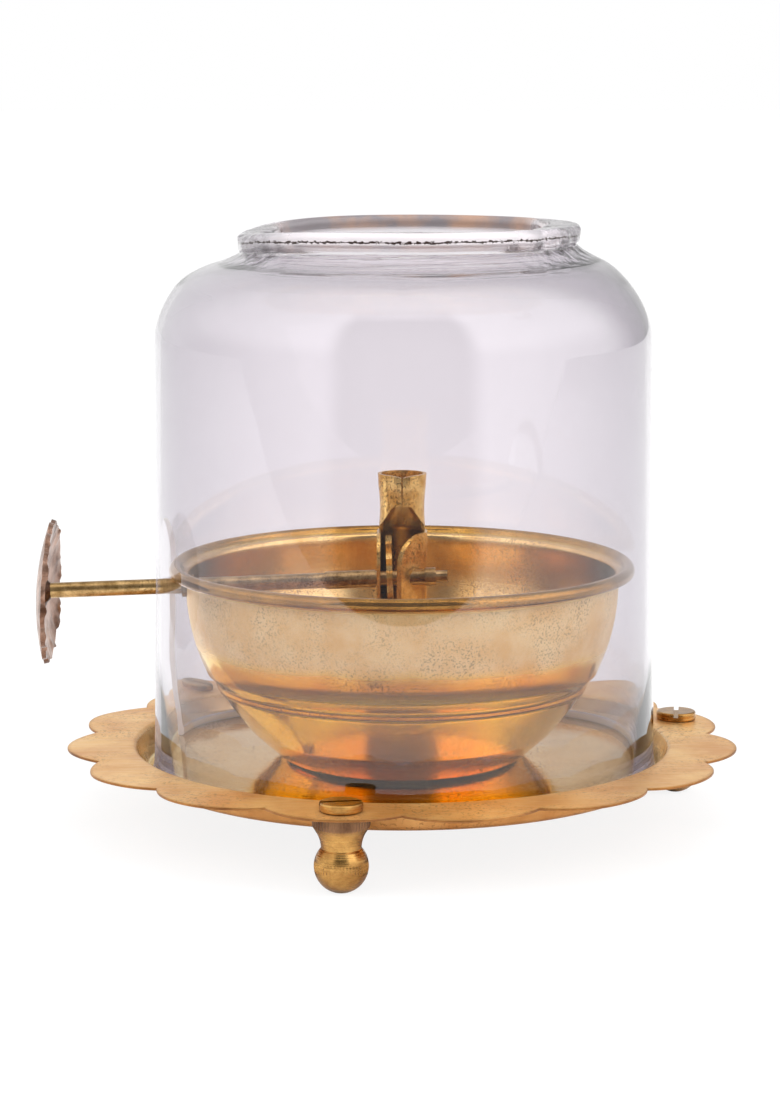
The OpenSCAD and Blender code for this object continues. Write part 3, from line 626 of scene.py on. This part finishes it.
# glass chimney: one closed section, blown unevenly, folded at both ends of its lip, notch cut out for the rod
# a fold or droop is (angle, half width) in degrees, a fade the span of heights or radii over which it changes
glass = {
    "footR": 57.1, "footZ": 11.35, "wall": 1.5, "heel": 0.25, "heelH": 1.7, "heelSet": 0.9,
    "heelZ": (2.2, 3.6), "wallLine": [(56.7, 40), (56.3, 70), (55.95, 95)], "topR": 55.6,
    "cornerZ": 121.95, "cornerSet": 13.2, "cornerIn": (1.0, 0.9),
    "neckOut": [(41.2, 128.0, 1.4, 5), (38.9, 129.3)], "neckIn": [(37.9, 128.2), (40.3, 126.5, 1.4, 5)],
    "mouthR": 37.5, "mouthZ": (130.5, 130.0), "lip": 0.85, "lipZ": (131.5, 132.9),
    "lipInZ": (131.3, 133.05), "lipSet": 1.5, "bendSet": 0.5, "topZ": 134.9, "steps": 240, "sharp": 40,
    "ripple": 0.12, "ripplesPerM": 40, "rippleFrom": 16, "lipRipple": 0.4, "lipRipplesPerM": 75,
    "lipFade": (121, 132), "lipMask": (129, 6), "insideZ": 127,
    "streak": 0.2, "streakGrain": (1.3, 260), "sagGrain": (2.2, 200), "shelf": (129.0, 2.4),
    "shelfFade": (40.5, 43.5), "betweenDeg": 48,
    "folds": [(186, 38), (352, 40)], "fold": 0.7, "foldsPerM": 260, "foldZ": (123, 126),
    "foldFade": (39.5, 42.5), "foldDrop": 0.5, "dropsPerM": 200, "lobe": 5.0, "lobesPerM": 120,
    "lobeZ": (129.5, 131.5), "lobeVary": (0.8, 0.6), "droop": 2.1, "droopAt": (180, 38),
    "lean": 1.2, "offset": 0.3, "notchW": 24.0, "notchTop": 68.37, "notchFrom": 5, "notchTurn": -1.2,
    "notchReach": (40, 65), "archFlat": 0.1, "ragged": 1.5, "raggedFrom": 12, "raggedCuts": 24,
    "raggedPerM": (90, 110), "raggedSeed": 7.7}


# noise in rings about the axis
def ringNoise(out, reach, around, across):
    return noise.noise(Vector((out.x * around, out.y * around, reach * across)))


wall, bend = glass["wall"], (glass["bendSet"], 4)
footOut, footIn = glass["footR"] + glass["heel"], glass["footR"] - wall - glass["heel"]
lipOut, lipIn = glass["mouthR"] + glass["lip"], glass["mouthR"] - wall - glass["lip"]
heelTop, wallFoot = [glass["footZ"] + rise for rise in glass["heelZ"]]
bm = bmesh.new()
first = lineOn(bm, None, [(footOut, heelTop)])
last = lineOn(bm, first, [
    (glass["footR"], wallFoot), *glass["wallLine"], (glass["topR"], glass["cornerZ"], glass["cornerSet"], 26),
    *glass["neckOut"], (glass["mouthR"], glass["mouthZ"][0], *bend), (lipOut, glass["lipZ"][0], *bend),
    (lipOut, glass["lipZ"][1]), (lipOut, glass["topZ"], glass["lipSet"], 8),
    (lipIn, glass["topZ"], glass["lipSet"], 8), (lipIn, glass["lipInZ"][1]),
    (lipIn, glass["lipInZ"][0], *bend), (glass["mouthR"] - wall, glass["mouthZ"][1], *bend),
    *glass["neckIn"], (glass["topR"] - wall, glass["cornerZ"] - glass["cornerIn"][0],
                       glass["cornerSet"] - glass["cornerIn"][1], 26),
    *[(r - wall, z) for r, z in reversed(glass["wallLine"])], (glass["footR"] - wall, wallFoot),
    (footIn, heelTop), (footIn, glass["footZ"], glass["heelSet"], 6),
    (footOut, glass["footZ"], glass["heelSet"], 6)])
bm.edges.new((last, first))
spinRound(bm, glass["steps"])
lipMask, insideMask, shelfMask, crumpleMask = addMasks(bm, ["lipHeight", "inside", "shelf", "crumple"])
for vert in bm.verts:
    z, reach = vert.co.z / mm, vert.co.to_2d().length
    out = vert.co.to_2d().normalized().to_3d()
    angle = math.degrees(math.atan2(out.y, out.x)) % 360
    high = smooth(*glass["lipFade"], z)
    within = z > glass["insideZ"] and reach < (glass["mouthR"] - wall / 2) * mm
    shelf = math.exp(-((z - glass["shelf"][0]) / glass["shelf"][1]) ** 2)
    shelf *= 1 - smooth(*glass["shelfFade"], reach / mm)
    folded = max(math.exp(-(((angle - at + 180) % 360 - 180) / wide) ** 4) for at, wide in glass["folds"])
    folded *= smooth(*glass["foldZ"], z) * (1 - smooth(*glass["foldFade"], reach / mm))
    between = math.exp(-((angle % 180 - 90) / glass["betweenDeg"]) ** 4)  # front and back, between the folds
    vert[lipMask] = min(1.0, max(0.0, (z - glass["lipMask"][0]) / glass["lipMask"][1]))
    vert[insideMask] = 1.0 if within else 0.0
    vert[shelfMask] = shelf * between
    vert[crumpleMask] = folded
    swell = glass["ripple"] * noise.noise(vert.co * glass["ripplesPerM"]) if z > glass["rippleFrom"] else 0.0
    swell += glass["lipRipple"] * high * noise.noise(vert.co * glass["lipRipplesPerM"])
    swell += glass["streak"] * shelf * ringNoise(out, reach, *glass["streakGrain"])
    swell += glass["fold"] * folded * noise.noise(vert.co * glass["foldsPerM"])
    if within:
        vary = glass["lobeVary"][0] + glass["lobeVary"][1] * noise.noise(vert.co * glass["lobesPerM"])
        swell -= glass["lobe"] * folded * smooth(*glass["lobeZ"], z) * vary
    droop = glass["droop"] * math.exp(-((angle - glass["droopAt"][0]) / glass["droopAt"][1]) ** 2)
    vert.co += out * swell * mm
    vert.co.z += shelf * glass["streak"] * ringNoise(out, reach, *glass["sagGrain"]) * mm
    dropped = glass["foldDrop"] * folded * max(0.0, noise.noise(vert.co * glass["dropsPerM"]))
    vert.co.z -= high * (droop + dropped) * mm
    vert.co.x += (glass["offset"] + high * glass["lean"]) * mm
for face in bm.faces:
    if face.calc_center_median().z < (glass["footZ"] + glass["heelH"]) * mm:
        face.material_index = 1
chimney = makePiece(bm, "glassChimney", "chimney", "glass_chimney", glass["sharp"])
chimney.data.materials.append(groundGlass)
bm = bmesh.new()
half = glass["notchW"] / 2
arch = (glass["notchTop"], half - glass["archFlat"], 14)
first = lineOn(bm, None, [(-half, glass["notchFrom"])])
last = lineOn(bm, first, [(-half, *arch), (half, *arch), (half, glass["notchFrom"])])
bm.edges.new((last, first))
tall = [e for e in bm.edges if abs(e.verts[0].co.z - e.verts[1].co.z) > half * mm]
bmesh.ops.subdivide_edges(bm, edges=tall, cuts=glass["raggedCuts"])
for vert in bm.verts:
    if vert.co.z > glass["raggedFrom"] * mm:
        across, along = glass["raggedPerM"]
        spot = Vector((vert.co.x * across, glass["raggedSeed"], vert.co.z * along))
        vert.co.x += glass["ragged"] * noise.noise(spot) * mm
bmesh.ops.contextual_create(bm, geom=bm.edges[:])
pushed = bmesh.ops.extrude_face_region(bm, geom=bm.faces[:])
near, far = glass["notchReach"]
bmesh.ops.translate(bm, verts=[g for g in pushed["geom"] if isinstance(g, bmesh.types.BMVert)],
                    vec=(0, (far - near) * mm, 0))
bmesh.ops.translate(bm, verts=bm.verts[:], vec=(0, near * mm, 0))
bmesh.ops.rotate(bm, verts=bm.verts[:], cent=(0, 0, 0),
                 matrix=Matrix.Rotation(math.radians(90 + glass["notchTurn"]), 3, "Z"))
bmesh.ops.recalc_face_normals(bm, faces=bm.faces[:])
for face in bm.faces:
    face.material_index = 1
cutAway(chimney, bm, glass["sharp"])
print("chimney made,", len(chimney.data.polygons), "faces")

# floor: white with a light shadow to the eye and through the glass, plain paper to the brass
# front, sides, back and boxes are levels in reflections; sector and behind are degrees from straight in front
studio = {
    "floorHalf": 4.0, "floorBack": 3.6, "paper": "#F0F0F0", "shadow": 0.14, "front": 0.25, "sides": 1.25,
    "back": 0.85, "sector": (28, 40), "behind": (100, 135), "right": 0.4, "backRight": -0.5,
    "high": (0.08, 0.45), "boxes": 2.0, "ceiling": (0.8, 0.93), "aim": (0, 0, 0.05)}
mesh = bpy.data.meshes.new("floor")
bm = bmesh.new()
bmesh.ops.create_grid(bm, x_segments=1, y_segments=1, size=studio["floorHalf"])
bmesh.ops.translate(bm, verts=bm.verts[:], vec=(0, studio["floorBack"], 0))
bm.to_mesh(mesh)
bm.free()
floor = bpy.data.objects.new("floor", mesh)
scene.collection.objects.link(floor)
floorPaper, tree = newMaterial("whitePaper")
path = addNode(tree, "ShaderNodeLightPath").outputs
seen = maths(tree, "MAXIMUM", path["Is Camera Ray"], path["Is Transmission Ray"])
paper = addNode(tree, "ShaderNodeBsdfDiffuse", {"Color": linear(studio["paper"])})
white = addNode(tree, "ShaderNodeEmission", {"Color": linear("#FFFFFF"), "Strength": 1.0})
mixed = addNode(tree, "ShaderNodeMixShader", {
    0: maths(tree, "MULTIPLY", seen, 1 - studio["shadow"]), 1: paper.outputs[0], 2: white.outputs[0]})
addNode(tree, "ShaderNodeOutputMaterial", {"Surface": mixed.outputs[0]})
mesh.materials.append(floorPaper)

# world: white to the eye; in reflections, a dim gap in front between two bright walls
world = bpy.data.worlds.new("studioWorld")
world.use_nodes = True
scene.world = world
tree = world.node_tree
tree.nodes.clear()
direction = addNode(tree, "ShaderNodeTexCoord").outputs["Generated"]
parts = addNode(tree, "ShaderNodeSeparateXYZ", {0: direction}).outputs
ahead = maths(tree, "MULTIPLY", parts["Y"], -1.0)
turn = maths(tree, "ARCTAN2", maths(tree, "ABSOLUTE", parts["X"]), ahead)
high = remap(tree, parts["Z"], studio["high"], studio["sides"], studio["boxes"], "SMOOTHSTEP")
wall = maths(tree, "MULTIPLY_ADD", parts["X"], studio["right"], high)
gap = remap(tree, parts["Z"], studio["ceiling"], studio["front"], studio["boxes"], "SMOOTHSTEP")
level = remap(tree, turn, [math.radians(a) for a in studio["sector"]], gap, wall, "SMOOTHSTEP")
rear = maths(tree, "MULTIPLY_ADD", parts["X"], studio["backRight"], studio["back"])
behind = remap(tree, turn, [math.radians(a) for a in studio["behind"]], kind="SMOOTHSTEP")
level = blend(tree, behind, level, rear, "FLOAT")
path = addNode(tree, "ShaderNodeLightPath").outputs
unmirrored = maths(tree, "LESS_THAN", path["Glossy Depth"], 0.5)
through = maths(tree, "MULTIPLY", unmirrored, path["Is Transmission Ray"])
seen = maths(tree, "MAXIMUM", path["Is Camera Ray"], through)
glow = addNode(tree, "ShaderNodeBackground", {
    "Color": linear("#FFFFFF"), "Strength": blend(tree, seen, level, 1.0, "FLOAT")})
addNode(tree, "ShaderNodeOutputWorld", {"Surface": glow.outputs[0]})

lampSet = [
    {"name": "leftBox", "place": (-1.1, -0.5, 0.8), "size": 0.8, "power": 6},
    {"name": "rightBox", "place": (1.1, -0.35, 0.7), "size": 0.8, "power": 5},
    {"name": "topBox", "place": (0.1, 0.3, 1.3), "size": 1.0, "power": 5},
    {"name": "frontBox", "place": (0, -1.1, 0.7), "size": 0.8, "power": 6},
]
for lamp in lampSet:
    light = bpy.data.lights.new(lamp["name"], "AREA")
    light.shape = "SQUARE"
    light.size = lamp["size"]
    light.energy = lamp["power"]
    stand = bpy.data.objects.new(lamp["name"], light)
    stand.location = lamp["place"]
    stand.rotation_euler = (Vector(studio["aim"]) - Vector(lamp["place"])).to_track_quat("-Z", "Y").to_euler()
    stand.visible_camera = False
    stand.visible_glossy = False  # the white walls stand in the reflections
    stand.visible_transmission = False
    scene.collection.objects.link(stand)
print("studio ready with", len(lampSet), "lamps")
